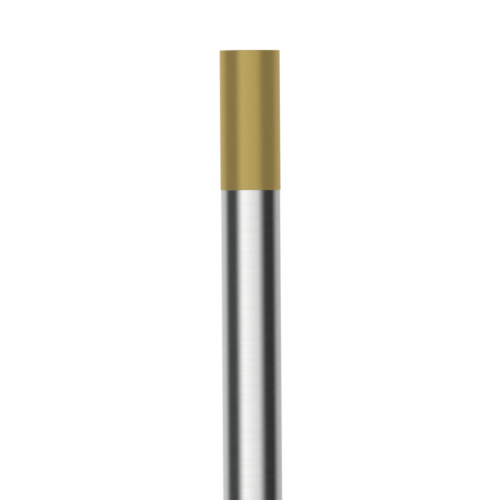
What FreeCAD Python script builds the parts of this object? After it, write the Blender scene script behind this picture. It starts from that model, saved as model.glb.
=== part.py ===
import FreeCAD, Part
import os
import Sketcher

# A tungsten electrode for TIG welding: one solid ground rod, cut square at both ends with its edges
# barely broken, and the thin lacquer coat that marks its alloy by colour, dipped over the upper end.
# Millimetres. +Z runs up the rod's axis from the bare working end to the coated end.
# The origin is on the axis, where the torch's collet grips the shank.

# Each size is written once here: alias, value, what it is.
DRIVING_SIZES = (
    ("rod_diameter", 2.4, "ground shank, the standard size that the collet is bored for"),
    ("rod_length", 175, "cut length, end face to end face"),
    ("edge_radius", 0.02, "edge of each cut end, barely broken by tumbling"),
    ("grip_height", 20, "from the working end's face up to the collet's grip"),
    ("coat_length", 5.65, "how far the lacquer reaches down from the coated end's face"),
    ("coat_thickness", 0.02, "dry lacquer film, on the shank and on the end face"),
    ("lip_height", 0.03, "height over which the film thins out to its lower edge"),
)


def make_sheet(doc):
    """The spreadsheet of driving sizes, one row each, with an alias on each value."""
    sheet = doc.addObject("Spreadsheet::Sheet", "Sizes")
    for row, (alias, value, meaning) in enumerate(DRIVING_SIZES, start=1):
        sheet.set(f"A{row}", alias)
        sheet.set(f"B{row}", str(value))
        sheet.set(f"C{row}", meaning)
        sheet.setAlias(f"B{row}", alias)
    doc.recompute()
    return sheet


def new_body(doc, name, label, height):
    """A body with its own label, standing at an expression's height on the rod's axis."""
    body = doc.addObject("PartDesign::Body", name)
    body.Label = label
    body.setExpression("Placement.Base.z", height)
    return body


def new_sketch(body, name, plane):
    """A sketch on one of the body's own origin planes."""
    sketch = body.newObject("Sketcher::SketchObject", name)
    origin_plane = next(f for f in body.Origin.OriginFeatures if f.Role == plane)
    sketch.AttachmentSupport = (origin_plane, "")
    sketch.MapMode = "FlatFace"
    return sketch


def add_size(sketch, name, expression, *constraint):
    """A named dimension in a sketch, driven by the spreadsheet."""
    index = sketch.addConstraint(Sketcher.Constraint(*constraint))
    sketch.renameConstraint(index, name)
    sketch.setExpression(f"Constraints.{name}", expression)


def make_rod(doc, sheet):
    """The rod: a round section padded to the cut length, with both end edges broken."""
    body = new_body(doc, "TungstenRod", "tungsten_rod", "-Sizes.grip_height")

    section = new_sketch(body, "RodSection", "XY_Plane")
    axis = FreeCAD.Vector(0, 0, 1)
    circle = section.addGeometry(Part.Circle(FreeCAD.Vector(), axis, sheet.rod_diameter / 2))
    section.addConstraint(Sketcher.Constraint("Coincident", circle, 3, -1, 1))
    add_size(section, "diameter", "Sizes.rod_diameter", "Diameter", circle, sheet.rod_diameter)

    cut_length = body.newObject("PartDesign::Pad", "CutLength")
    cut_length.Profile = section
    cut_length.setExpression("Length", "Sizes.rod_length")
    doc.recompute()

    end_edges = [
        f"Edge{number}"
        for number, edge in enumerate(cut_length.Shape.Edges, start=1)
        if isinstance(edge.Curve, Part.Circle)
    ]
    broken_edges = body.newObject("PartDesign::Fillet", "BrokenEdges")
    broken_edges.Base = (cut_length, end_edges)
    broken_edges.setExpression("Radius", "Sizes.edge_radius")
    body.Tip = broken_edges
    return body


def make_colour_mark(doc, sheet):
    """The lacquer film: a half section that follows the rod's surface, turned about the axis.

    Its body stands on the rod's coated end face, so the sketch runs up to the film on that face
    and down to the film's lower edge. The film keeps its thickness round the broken edge, and an
    arc tangent to the outer wall thins it out to nothing where it ends on the shank.
    """
    body = new_body(doc, "ColourMark", "colour_mark", "Sizes.rod_length - Sizes.grip_height")
    sketch = new_sketch(body, "FilmSection", "XZ_Plane")

    shank = sheet.rod_diameter / 2
    edge = sheet.edge_radius
    film = sheet.coat_thickness
    lower = -sheet.coat_length
    lip = sheet.lip_height
    outer = shank + film
    turn = shank - edge
    lip_radius = (film**2 + lip**2) / (2 * film)

    def point(x, y):
        return FreeCAD.Vector(x, y, 0)

    def line(*ends):
        return sketch.addGeometry(Part.LineSegment(*ends))

    def arc(centre, radius, start, end):
        circle = Part.Circle(centre, FreeCAD.Vector(0, 0, 1), radius)
        span = circle.parameter(start), circle.parameter(end)
        return sketch.addGeometry(Part.ArcOfCircle(circle, *span))

    # The half section, corner by corner. An arc runs anticlockwise, so each starts at its lower end.
    lip_top = point(outer, lower + lip)
    lip_centre = point(outer - lip_radius, lower + lip)
    on_end_face = line(point(0, 0), point(turn, 0))
    on_edge = arc(point(turn, -edge), edge, point(shank, -edge), point(turn, 0))
    on_shank = line(point(shank, -edge), point(shank, lower))
    lip_arc = arc(lip_centre, lip_radius, point(shank, lower), lip_top)
    outer_wall = line(lip_top, point(outer, -edge))
    outer_edge = arc(point(turn, -edge), edge + film, point(outer, -edge), point(turn, film))
    top_face = line(point(turn, film), point(0, film))
    on_axis = line(point(0, film), point(0, 0))

    start, end, centre = 1, 2, 3
    root, vertical_axis = -1, -2
    joins = (
        ("Tangent", on_end_face, end, on_edge, end),
        ("Tangent", on_edge, start, on_shank, start),
        ("Coincident", on_shank, end, lip_arc, start),
        ("Tangent", lip_arc, end, outer_wall, start),
        ("Tangent", outer_wall, end, outer_edge, start),
        ("Tangent", outer_edge, end, top_face, start),
        ("Coincident", top_face, end, on_axis, start),
        ("Coincident", on_axis, end, on_end_face, start),
        ("Coincident", on_axis, end, root, start),
        ("PointOnObject", on_axis, start, vertical_axis),
        ("Coincident", outer_edge, centre, on_edge, centre),
        ("Horizontal", on_end_face),
        ("Horizontal", top_face),
        ("Vertical", on_shank),
        ("Vertical", outer_wall),
    )
    for join in joins:
        sketch.addConstraint(Sketcher.Constraint(*join))

    dimensions = (
        ("shank_radius", "Sizes.rod_diameter / 2", "DistanceX", root, start, on_shank, start, shank),
        ("edge", "Sizes.edge_radius", "Radius", on_edge, edge),
        ("film", "Sizes.coat_thickness", "DistanceY", on_axis, end, on_axis, start, film),
        ("reach", "Sizes.coat_length", "DistanceY", on_shank, end, root, start, -lower),
        ("lip", "Sizes.lip_height", "DistanceY", lip_arc, start, lip_arc, end, lip),
    )
    for dimension in dimensions:
        add_size(sketch, *dimension)

    turned = body.newObject("PartDesign::Revolution", "TurnedFilm")
    turned.Profile = sketch
    turned.ReferenceAxis = (sketch, ["V_Axis"])
    turned.Angle = 360
    body.Tip = turned
    return body


def check_document(doc, bodies):
    """Stops if any object failed to recompute, or if a sub-part isn't one valid closed solid."""
    failed = [o.Label for o in doc.Objects if {"Invalid", "Error"} & set(o.State)]
    if failed:
        raise RuntimeError(f"these objects failed to recompute: {failed}")
    for body in bodies:
        shape = body.Shape
        if shape.isNull() or not shape.isValid() or len(shape.Solids) != 1:
            raise RuntimeError(f"{body.Label} isn't one valid solid")


def export_parts(bodies):
    """Writes each sub-part to a STEP file named by its label, and prints its size."""
    os.makedirs("parts", exist_ok=True)
    for body in bodies:
        shape = body.Shape
        shape.exportStep(f"parts/{body.Label}.step")
        box = shape.optimalBoundingBox(False)
        span = f"{box.XLength:.3f} mm across, z {box.ZMin:.3f} to {box.ZMax:.3f}"
        print(f"{body.Label}: {shape.Volume:.4f} mm3, {span}")


doc = FreeCAD.newDocument("TungstenElectrode")
sizes = make_sheet(doc)
parts = [make_rod(doc, sizes), make_colour_mark(doc, sizes)]
doc.recompute()
check_document(doc, parts)
export_parts(parts)
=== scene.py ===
import math

import bpy
from mathutils import Matrix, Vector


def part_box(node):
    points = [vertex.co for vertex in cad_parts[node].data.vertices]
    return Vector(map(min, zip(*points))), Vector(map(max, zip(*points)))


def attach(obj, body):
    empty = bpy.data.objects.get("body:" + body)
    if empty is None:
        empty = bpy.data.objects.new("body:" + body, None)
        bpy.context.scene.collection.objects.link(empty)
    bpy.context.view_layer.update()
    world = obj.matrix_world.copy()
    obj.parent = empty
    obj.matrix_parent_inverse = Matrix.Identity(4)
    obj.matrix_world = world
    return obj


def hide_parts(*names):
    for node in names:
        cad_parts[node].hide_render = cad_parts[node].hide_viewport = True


# A tungsten electrode for TIG welding: the ground rod, and the gold lacquer that marks its alloy.
# Metres, in the frame of the model. +Z runs up the rod to its lacquered end.

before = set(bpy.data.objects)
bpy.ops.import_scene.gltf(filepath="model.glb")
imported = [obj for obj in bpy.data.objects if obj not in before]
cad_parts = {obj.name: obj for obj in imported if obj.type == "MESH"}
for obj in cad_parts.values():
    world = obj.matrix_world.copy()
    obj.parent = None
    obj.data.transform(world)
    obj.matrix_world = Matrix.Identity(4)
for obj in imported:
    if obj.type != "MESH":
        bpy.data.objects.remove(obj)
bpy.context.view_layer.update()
mm = 0.001
rodLow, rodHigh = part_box("tungsten_rod")
markLow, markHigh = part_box("colour_mark")
print("frame loaded, rod", round((rodHigh.z - rodLow.z) / mm, 1), "mm long")


# The camera looks level along +Y, through a lens so long that the cut end shows as a straight line.
view = {
    "lens": 1500,  # mm
    "sensor": 36,  # mm
    "frame": 500,  # px, the photograph's width and height
    "shankWidth": 59.27,  # px
    "topRow": 50.15,  # px, the lacquered end
    "axisColumn": 251.0,  # px, where the rod's axis crosses the middle row
    "lean": 0.405,  # degrees, the rod's top to the left
    "reach": 100,  # how many times nearer and farther than the rod the camera still sees
}


def makeCamera():
    middle = view["frame"] / 2
    pixel = 2 * rodHigh.x / view["shankWidth"]  # metres, at the rod
    distance = view["lens"] * view["frame"] * pixel / view["sensor"]
    height = markHigh.z - (middle - view["topRow"]) * pixel
    data = bpy.data.cameras.new("camera")
    data.lens = view["lens"]
    data.sensor_width = view["sensor"]
    data.clip_start = distance / view["reach"]
    data.clip_end = distance * view["reach"]
    camera = bpy.data.objects.new("camera", data)
    place = Matrix.Translation((0, -distance, height))
    level = Matrix.Rotation(math.radians(90), 4, "X")
    lean = Matrix.Rotation(math.radians(-view["lean"]), 4, "Z")
    aside = Matrix.Translation(((middle - view["axisColumn"]) * pixel, 0, 0))
    camera.matrix_world = place @ level @ lean @ aside
    bpy.context.scene.collection.objects.link(camera)
    bpy.context.scene.camera = camera


makeCamera()
print("camera placed")


def linear(hexColour):  # sRGB hex to the linear colour that a socket takes
    parts = [int(hexColour[i : i + 2], 16) / 255 for i in (1, 3, 5)]
    return [p / 12.92 if p <= 0.04045 else ((p + 0.055) / 1.055) ** 2.4 for p in parts] + [1]


def fillSocket(tree, socket, value):  # with a plain value, a socket, or the first output of a node
    if isinstance(value, bpy.types.Node):
        value = next(s for s in value.outputs if s.enabled)
    if isinstance(value, bpy.types.NodeSocket):
        tree.links.new(value, socket)
    else:
        socket.default_value = value


def addNode(tree, kind, inputs=None, **settings):  # inputs go by number, or by the name of one in use
    node = tree.nodes.new(kind)
    for name, value in settings.items():
        setattr(node, name, value)
    for name, value in (inputs or {}).items():
        if isinstance(name, str):
            socket = next(s for s in node.inputs if s.name == name and s.enabled)
        else:
            socket = node.inputs[name]
        fillSocket(tree, socket, value)
    return node


def newMaterial(name):
    material = bpy.data.materials.new(name)
    material.use_nodes = True
    material.node_tree.nodes.clear()
    return material, material.node_tree


# Tungsten, centreless ground and polished: a bright grey metal. The finest lines run round the rod,
# so its reflections stay crisp across it and are drawn out along it.
ground = {
    "colour": "#BFBFBF",
    "duller": "#B9B9B9",  # along the finest lines
    "polished": 0.17,  # roughness
    "scored": 0.22,
    "faint": 0.3,  # the noise is seldom weaker than this
    "strong": 0.7,  # nor stronger than this
    "lineLength": 2.5 * mm,
    "linePitch": 0.09 * mm,  # real lines are 0.01 mm apart: drawn coarser, so that they show
    "lineDepth": 0.0003 * mm,
    "lineDetail": 3,  # finer lines within each line
}


def groundTungsten():
    material, tree = newMaterial("groundTungsten")
    place = addNode(tree, "ShaderNodeTexCoord")
    along = 1 / ground["lineLength"]
    stretched = addNode(tree, "ShaderNodeMapping", {
        "Vector": place.outputs["Object"],
        "Scale": (along, along, 1 / ground["linePitch"]),
    })
    lines = addNode(tree, "ShaderNodeTexNoise", {
        "Vector": stretched,
        "Scale": 1,
        "Detail": ground["lineDetail"],
    })
    scored = addNode(tree, "ShaderNodeMapRange", {
        "Value": lines,
        "From Min": ground["faint"],
        "From Max": ground["strong"],
        "To Min": ground["polished"],
        "To Max": ground["scored"],
    })
    tint = addNode(tree, "ShaderNodeMix", {
        "Factor": lines,
        "A": linear(ground["colour"]),
        "B": linear(ground["duller"]),
    }, data_type="RGBA")
    depth = addNode(tree, "ShaderNodeBump", {"Height": lines, "Distance": ground["lineDepth"]})
    metal = addNode(tree, "ShaderNodeBsdfPrincipled", {
        "Base Color": tint,
        "Metallic": 1,
        "Roughness": scored,
        "Normal": depth,
    })
    addNode(tree, "ShaderNodeOutputMaterial", {"Surface": metal})
    return material


# Tungsten, cut through with a thin abrasive wheel: duller, with the wheel's marks straight across.
cut = {
    "colour": "#A5A4A2",
    "roughness": 0.42,
    "markLength": 1.5 * mm,
    "markPitch": 0.05 * mm,
    "markDepth": 0.0015 * mm,
    "markDetail": 4,  # finer marks within each mark
}


def cutTungsten():
    material, tree = newMaterial("cutTungsten")
    place = addNode(tree, "ShaderNodeTexCoord")
    along = 1 / cut["markLength"]
    stretched = addNode(tree, "ShaderNodeMapping", {
        "Vector": place.outputs["Object"],
        "Scale": (along, 1 / cut["markPitch"], along),
    })
    marks = addNode(tree, "ShaderNodeTexNoise", {
        "Vector": stretched,
        "Scale": 1,
        "Detail": cut["markDetail"],
    })
    depth = addNode(tree, "ShaderNodeBump", {"Height": marks, "Distance": cut["markDepth"]})
    metal = addNode(tree, "ShaderNodeBsdfPrincipled", {
        "Base Color": linear(cut["colour"]),
        "Metallic": 1,
        "Roughness": cut["roughness"],
        "Normal": depth,
    })
    addNode(tree, "ShaderNodeOutputMaterial", {"Surface": metal})
    return material


# Gold lacquer, dipped and air dried: metal flakes in a thin resin, so it mirrors its surroundings
# only faintly, in its own colour, over an even body colour.
lacquer = {
    "colour": "#A28E52",
    "sparse": "#9A874D",  # where fewer flakes lie flat
    "metallic": 0.42,
    "edge": "#D8BE78",  # the flakes' tint at a glancing angle
    "specular": 0.5,
    "sheen": 0.5,  # light scattered by the flakes near the film's surface
    "sheenRoughness": 0.6,
    "sheenTint": "#E0C070",
    "roughness": 0.18,
    "flake": 0.07 * mm,  # real flakes are 0.02 mm: drawn coarser, so that they show
    "ripple": 0.45 * mm,  # the dried film's faint unevenness
    "rippleDepth": 0.0004 * mm,
}


def goldLacquer():
    material, tree = newMaterial("goldLacquer")
    place = addNode(tree, "ShaderNodeTexCoord")
    flakes = addNode(tree, "ShaderNodeTexNoise", {
        "Vector": place.outputs["Object"],
        "Scale": 1 / lacquer["flake"],
    })
    ripples = addNode(tree, "ShaderNodeTexNoise", {
        "Vector": place.outputs["Object"],
        "Scale": 1 / lacquer["ripple"],
    })
    tint = addNode(tree, "ShaderNodeMix", {
        "Factor": flakes,
        "A": linear(lacquer["sparse"]),
        "B": linear(lacquer["colour"]),
    }, data_type="RGBA")
    depth = addNode(tree, "ShaderNodeBump", {"Height": ripples, "Distance": lacquer["rippleDepth"]})
    paint = addNode(tree, "ShaderNodeBsdfPrincipled", {
        "Base Color": tint,
        "Metallic": lacquer["metallic"],
        "Specular IOR Level": lacquer["specular"],
        "Specular Tint": linear(lacquer["edge"]),
        "Sheen Weight": lacquer["sheen"],
        "Sheen Roughness": lacquer["sheenRoughness"],
        "Sheen Tint": linear(lacquer["sheenTint"]),
        "Roughness": lacquer["roughness"],
        "Normal": depth,
    })
    addNode(tree, "ShaderNodeOutputMaterial", {"Surface": paint})
    return material


print("materials made")


def newTree(name, sizes):  # a geometry tree with an input for each size in a piece's dictionary
    tree = bpy.data.node_groups.new(name, "GeometryNodeTree")
    for label, value in sizes.items():
        kind = "NodeSocketInt" if isinstance(value, int) else "NodeSocketFloat"
        tree.interface.new_socket(label, in_out="INPUT", socket_type=kind)
    tree.interface.new_socket("Geometry", in_out="OUTPUT", socket_type="NodeSocketGeometry")
    return tree, tree.nodes.new("NodeGroupInput").outputs


# Both pieces are turned. Each corner of the half section is a radius, a height and a rounding, from the
# top down on the outside. Straight lines join them, and the rounded line is swept round the axis.
turning = {
    "sweepRadius": 1 * mm,
    "weld": 0.0001 * mm,  # closes the poles
    "crease": 30,  # degrees: a sharper edge stays an edge
    "hold": 1.5,  # roundings from a corner to the ring that keeps the next face flat
    "square": 0.999,  # the cosine to the axis from which a face counts as cut square
}


def turnCorners(tree, size, corners):
    order = addNode(tree, "GeometryNodeInputIndex")
    places = addNode(tree, "GeometryNodeIndexSwitch", {"Index": order}, data_type="VECTOR")
    roundings = addNode(tree, "GeometryNodeIndexSwitch", {"Index": order}, data_type="FLOAT")
    for switch in (places, roundings):
        while len(switch.index_switch_items) < len(corners):
            switch.index_switch_items.new()
    for item, (radius, height, rounding) in enumerate(corners, start=1):
        place = addNode(tree, "ShaderNodeCombineXYZ", {"X": radius, "Y": height})
        fillSocket(tree, places.inputs[item], place)
        fillSocket(tree, roundings.inputs[item], rounding)
    points = addNode(tree, "GeometryNodePoints", {
        "Count": len(corners),
        "Position": places,
        "Radius": roundings,
    })
    rounded = addNode(tree, "GeometryNodeFilletCurve", {
        "Curve": addNode(tree, "GeometryNodePointsToCurves", {"Points": points}),
        "Count": size["Arc Steps"],
        "Radius": addNode(tree, "GeometryNodeInputRadius"),
    }, mode="POLY")
    section = addNode(tree, "GeometryNodeTransform", {  # the sweep runs heights downwards
        "Geometry": rounded,
        "Translation": (-turning["sweepRadius"], 0, 0),
        "Scale": (1, -1, 1),
    })
    circle = addNode(tree, "GeometryNodeCurvePrimitiveCircle", {
        "Resolution": size["Segments"],
        "Radius": turning["sweepRadius"],
    })
    upright = addNode(tree, "GeometryNodeSetCurveNormal", {"Curve": circle}, mode="Z_UP")
    swept = addNode(tree, "GeometryNodeCurveToMesh", {"Curve": upright, "Profile Curve": section})
    closed = addNode(tree, "GeometryNodeMergeByDistance", {
        "Geometry": swept,
        "Distance": turning["weld"],
    })
    smooth = addNode(tree, "GeometryNodeSetShadeSmooth", {"Geometry": closed})
    sharp = addNode(tree, "FunctionNodeCompare", {
        "A": addNode(tree, "GeometryNodeInputMeshEdgeAngle"),
        "B": math.radians(turning["crease"]),
    }, operation="GREATER_THAN")
    return addNode(tree, "GeometryNodeSetShadeSmooth", {
        "Geometry": smooth,
        "Selection": sharp,
        "Shade Smooth": False,
    }, domain="EDGE")


def finishTree(tree, shape, material, cutMaterial=None):  # the cut faces are those square to the axis
    real = addNode(tree, "GeometryNodeRealizeInstances", {"Geometry": shape})
    dressed = addNode(tree, "GeometryNodeSetMaterial", {"Geometry": real, "Material": material})
    if cutMaterial:
        normal = addNode(tree, "GeometryNodeInputNormal")
        facing = addNode(tree, "ShaderNodeSeparateXYZ", {"Vector": normal})
        level = addNode(tree, "ShaderNodeMath", {0: facing.outputs["Z"]}, operation="ABSOLUTE")
        square = addNode(tree, "FunctionNodeCompare", {
            "A": level,
            "B": turning["square"],
        }, operation="GREATER_THAN")
        dressed = addNode(tree, "GeometryNodeSetMaterial", {
            "Geometry": dressed,
            "Selection": square,
            "Material": cutMaterial,
        })
    addNode(tree, "NodeGroupOutput", {"Geometry": dressed})


def makePiece(name, tree, sizes, node):  # a plain mesh from the tree, in the node's place
    piece = bpy.data.objects.new(name, bpy.data.meshes.new(name + "Start"))
    bpy.context.scene.collection.objects.link(piece)
    modifier = piece.modifiers.new(name, "NODES")
    modifier.node_group = tree
    for item in tree.interface.items_tree:
        if item.in_out == "INPUT":
            modifier[item.identifier] = sizes[item.name]
    evaluated = piece.evaluated_get(bpy.context.evaluated_depsgraph_get())
    mesh = bpy.data.meshes.new_from_object(evaluated)
    piece.modifiers.remove(modifier)
    piece.data = mesh
    mesh.name = name
    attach(piece, "root")
    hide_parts(node)
    print(name, "made,", len(mesh.polygons), "faces")


rodSizes = {
    "Shank Radius": rodHigh.x,
    "Upper End": rodHigh.z,
    "Lower End": rodLow.z,
    "Edge Radius": 0.02 * mm,  # barely broken by tumbling
    "Arc Steps": 8,
    "Segments": 160,
}


def makeRod():
    tree, size = newTree("turnedRod", rodSizes)
    edge = size["Edge Radius"]
    ring = addNode(tree, "ShaderNodeMath", {0: edge, 1: turning["hold"]}, operation="MULTIPLY")
    face = addNode(tree, "ShaderNodeMath", {0: size["Shank Radius"], 1: ring}, operation="SUBTRACT")
    high = addNode(tree, "ShaderNodeMath", {0: size["Upper End"], 1: ring}, operation="SUBTRACT")
    low = addNode(tree, "ShaderNodeMath", {0: size["Lower End"], 1: ring}, operation="ADD")
    shape = turnCorners(tree, size, (
        (0, size["Upper End"], 0),
        (face, size["Upper End"], 0),
        (size["Shank Radius"], size["Upper End"], edge),
        (size["Shank Radius"], high, 0),
        (size["Shank Radius"], low, 0),
        (size["Shank Radius"], size["Lower End"], edge),
        (face, size["Lower End"], 0),
        (0, size["Lower End"], 0),
    ))
    finishTree(tree, shape, groundTungsten(), cutTungsten())
    makePiece("groundRod", tree, rodSizes, "tungsten_rod")


makeRod()


# The film lies on the rod, follows its broken edge and covers its end. Its lower edge thins out in an
# arc that starts tangent to the film's outer wall and ends on the rod.
markSizes = {
    "Shank Radius": rodHigh.x,
    "End Face": rodHigh.z,
    "Edge Radius": rodSizes["Edge Radius"],
    "Film": markHigh.z - rodHigh.z,
    "Lower Edge": markLow.z,
    "Lip": 0.03 * mm,
    "Arc Steps": 8,
    "Segments": 160,
}


def makeMark():
    tree, size = newTree("turnedMark", markSizes)
    shank = size["Shank Radius"]
    film = size["Film"]
    edge = size["Edge Radius"]
    lip = size["Lip"]
    lower = size["Lower Edge"]
    outer = addNode(tree, "ShaderNodeMath", {0: shank, 1: film}, operation="ADD")
    cap = addNode(tree, "ShaderNodeMath", {0: size["End Face"], 1: film}, operation="ADD")
    outerEdge = addNode(tree, "ShaderNodeMath", {0: edge, 1: film}, operation="ADD")
    ring = addNode(tree, "ShaderNodeMath", {0: edge, 1: turning["hold"]}, operation="MULTIPLY")
    face = addNode(tree, "ShaderNodeMath", {0: shank, 1: ring}, operation="SUBTRACT")
    high = addNode(tree, "ShaderNodeMath", {0: size["End Face"], 1: ring}, operation="SUBTRACT")
    lipRing = addNode(tree, "ShaderNodeMath", {0: lip, 1: turning["hold"]}, operation="MULTIPLY")
    low = addNode(tree, "ShaderNodeMath", {0: lower, 1: lipRing}, operation="ADD")
    lipSquared = addNode(tree, "ShaderNodeMath", {0: lip, 1: lip}, operation="MULTIPLY")
    filmSquared = addNode(tree, "ShaderNodeMath", {0: film, 1: film}, operation="MULTIPLY")
    total = addNode(tree, "ShaderNodeMath", {0: lipSquared, 1: filmSquared}, operation="ADD")
    twiceFilm = addNode(tree, "ShaderNodeMath", {0: film, 1: 2}, operation="MULTIPLY")
    lipRadius = addNode(tree, "ShaderNodeMath", {0: total, 1: twiceFilm}, operation="DIVIDE")
    spare = addNode(tree, "ShaderNodeMath", {0: lipSquared, 1: filmSquared}, operation="SUBTRACT")
    twiceLip = addNode(tree, "ShaderNodeMath", {0: lip, 1: 2}, operation="MULTIPLY")
    rise = addNode(tree, "ShaderNodeMath", {0: spare, 1: twiceLip}, operation="DIVIDE")
    lipCorner = addNode(tree, "ShaderNodeMath", {0: lower, 1: rise}, operation="ADD")
    shape = turnCorners(tree, size, (
        (0, cap, 0),
        (face, cap, 0),
        (outer, cap, outerEdge),
        (outer, high, 0),
        (outer, low, 0),
        (outer, lipCorner, lipRadius),
        (shank, lower, 0),
        (shank, high, 0),
        (shank, size["End Face"], edge),
        (face, size["End Face"], 0),
        (0, size["End Face"], 0),
    ))
    finishTree(tree, shape, goldLacquer())
    makePiece("goldMark", tree, markSizes, "colour_mark")


makeMark()


# The floor is pale and plain, at the height of the rod's lower end. The camera and the metal see it
# and the room's air as white. Only the camera and reflections get that share, so it lights nothing.
room = {
    "floor": "#EDEDED",
    "floorSize": 20,
    "floorGlow": 0.16,
    "sky": "#FFFFFF",
    "air": 0.85,  # the light that it gives
    "sun": 0.8,  # the soft main lamp
    "sunSize": 24,  # degrees, which softens the shadow
    "sunHeight": 50,  # degrees
    "sunAside": -15,  # degrees, to the left of the camera
}


def seenRays(tree):  # 1 for what the camera, metal and glass see, and 0 for the light on matt surfaces
    rays = addNode(tree, "ShaderNodeLightPath").outputs
    camera = rays["Is Camera Ray"]
    glossy = rays["Is Glossy Ray"]
    seen = addNode(tree, "ShaderNodeMath", {0: camera, 1: glossy}, operation="MAXIMUM")
    through = rays["Is Transmission Ray"]
    return addNode(tree, "ShaderNodeMath", {0: seen, 1: through}, operation="MAXIMUM")


def makeRoom():
    half = room["floorSize"] / 2
    mesh = bpy.data.meshes.new("floor")
    corners = ((-half, -half), (half, -half), (half, half), (-half, half))
    mesh.from_pydata([(x, y, rodLow.z) for x, y in corners], [], [(0, 1, 2, 3)])
    floor = bpy.data.objects.new("floor", mesh)
    bpy.context.scene.collection.objects.link(floor)
    material, tree = newMaterial("floorPaper")
    paper = addNode(tree, "ShaderNodeBsdfDiffuse", {"Color": linear(room["floor"])})
    seen = seenRays(tree)
    strength = addNode(tree, "ShaderNodeMath", {0: seen, 1: room["floorGlow"]}, operation="MULTIPLY")
    glow = addNode(tree, "ShaderNodeEmission", {"Strength": strength})
    both = addNode(tree, "ShaderNodeAddShader", {0: paper, 1: glow})
    addNode(tree, "ShaderNodeOutputMaterial", {"Surface": both})
    mesh.materials.append(material)

    world = bpy.data.worlds.new("air")
    bpy.context.scene.world = world
    world.use_nodes = True
    tree = world.node_tree
    tree.nodes.clear()
    strength = addNode(tree, "ShaderNodeMix", {"Factor": seenRays(tree), "A": room["air"], "B": 1})
    sky = addNode(tree, "ShaderNodeBackground", {"Color": linear(room["sky"]), "Strength": strength})
    addNode(tree, "ShaderNodeOutputWorld", {"Surface": sky})

    lamp = bpy.data.lights.new("sun", "SUN")
    lamp.energy = room["sun"]
    lamp.angle = math.radians(room["sunSize"])
    sun = bpy.data.objects.new("sun", lamp)
    tilt = Matrix.Rotation(math.radians(90 - room["sunHeight"]), 4, "X")
    sun.matrix_world = Matrix.Rotation(math.radians(room["sunAside"]), 4, "Z") @ tilt
    sun.visible_glossy = False  # the metal mirrors the screens
    bpy.context.scene.collection.objects.link(sun)


makeRoom()


# Screens stand round the rod, and only its reflections show them: bright silk in front, black card
# behind it and on to both sides, and grey card at the back on the right. They curve in towards the
# rod's foot like a bowl. Angles are degrees round the rod from the camera, to the right. Each screen
# fades out at its edges, and a colour is that of its glow.
screens = {
    "height": 350 * mm,
    "bowl": ((0.08, 0), (0.4, 0.03), (0.75, 0.1), (1, 0.3), (1, 1)),  # shares of the radius and height
    "steps": 96,
    "silk": {
        "colour": "#FFFFFE",
        "radius": 90 * mm,
        "from": -63,
        "to": 58,
        "fromFade": 37,
        "toFade": 36,
        "fromGlow": 2.2,
        "toGlow": 1,
    },
    "blackCard": {
        "colour": "#F0FAFF",
        "radius": 95 * mm,
        "from": -126,
        "to": 125,
        "fromFade": 35,
        "toFade": 36,
        "fromGlow": 0.12,
        "toGlow": 0.04,
    },
    "greyCard": {
        "colour": "#FFFFFF",
        "radius": 100 * mm,
        "from": 80,
        "to": 180,
        "fromFade": 20,
        "toFade": 30,
        "fromGlow": 0.8,
        "toGlow": 0.8,
    },
}


def makeScreen(name):
    screen = screens[name]
    points = []
    for out, up in screens["bowl"]:
        radius = screen["radius"] * out
        height = rodLow.z + screens["height"] * up
        for step in range(screens["steps"] + 1):
            share = step / screens["steps"]
            angle = math.radians(screen["from"] + (screen["to"] - screen["from"]) * share)
            points.append((radius * math.sin(angle), -radius * math.cos(angle), height))
    above = screens["steps"] + 1
    corners = [i for i in range(len(points) - above) if (i + 1) % above]
    mesh = bpy.data.meshes.new(name)
    mesh.from_pydata(points, [], [(i, i + 1, i + 1 + above, i + above) for i in corners])
    sheet = bpy.data.objects.new(name, mesh)
    bpy.context.scene.collection.objects.link(sheet)
    sheet.visible_camera = False
    sheet.visible_diffuse = False
    sheet.visible_shadow = False
    sheet.visible_transmission = False

    material, tree = newMaterial(name)
    coordinates = addNode(tree, "ShaderNodeTexCoord")
    place = addNode(tree, "ShaderNodeSeparateXYZ", {"Vector": coordinates.outputs["Object"]})
    forward = addNode(tree, "ShaderNodeMath", {0: place.outputs["Y"], 1: -1}, operation="MULTIPLY")
    turn = addNode(tree, "ShaderNodeMath", {0: place.outputs["X"], 1: forward}, operation="ARCTAN2")
    angle = addNode(tree, "ShaderNodeMath", {0: turn}, operation="DEGREES")
    rise = addNode(tree, "ShaderNodeMapRange", {
        "Value": angle,
        "From Min": screen["from"],
        "From Max": screen["from"] + screen["fromFade"],
    }, interpolation_type="SMOOTHSTEP")
    fall = addNode(tree, "ShaderNodeMapRange", {
        "Value": angle,
        "From Min": screen["to"],
        "From Max": screen["to"] - screen["toFade"],
    }, interpolation_type="SMOOTHSTEP")
    cover = addNode(tree, "ShaderNodeMath", {0: rise, 1: fall}, operation="MULTIPLY")
    strength = addNode(tree, "ShaderNodeMapRange", {
        "Value": angle,
        "From Min": screen["from"],
        "From Max": screen["to"],
        "To Min": screen["fromGlow"],
        "To Max": screen["toGlow"],
    })
    glow = addNode(tree, "ShaderNodeEmission", {
        "Color": linear(screen["colour"]),
        "Strength": strength,
    })
    clear = addNode(tree, "ShaderNodeBsdfTransparent")
    both = addNode(tree, "ShaderNodeMixShader", {0: cover, 1: clear, 2: glow})
    addNode(tree, "ShaderNodeOutputMaterial", {"Surface": both})
    mesh.materials.append(material)


for name in ("silk", "blackCard", "greyCard"):
    makeScreen(name)
print("room and screens made")


bpy.context.scene.view_settings.view_transform = "Standard"
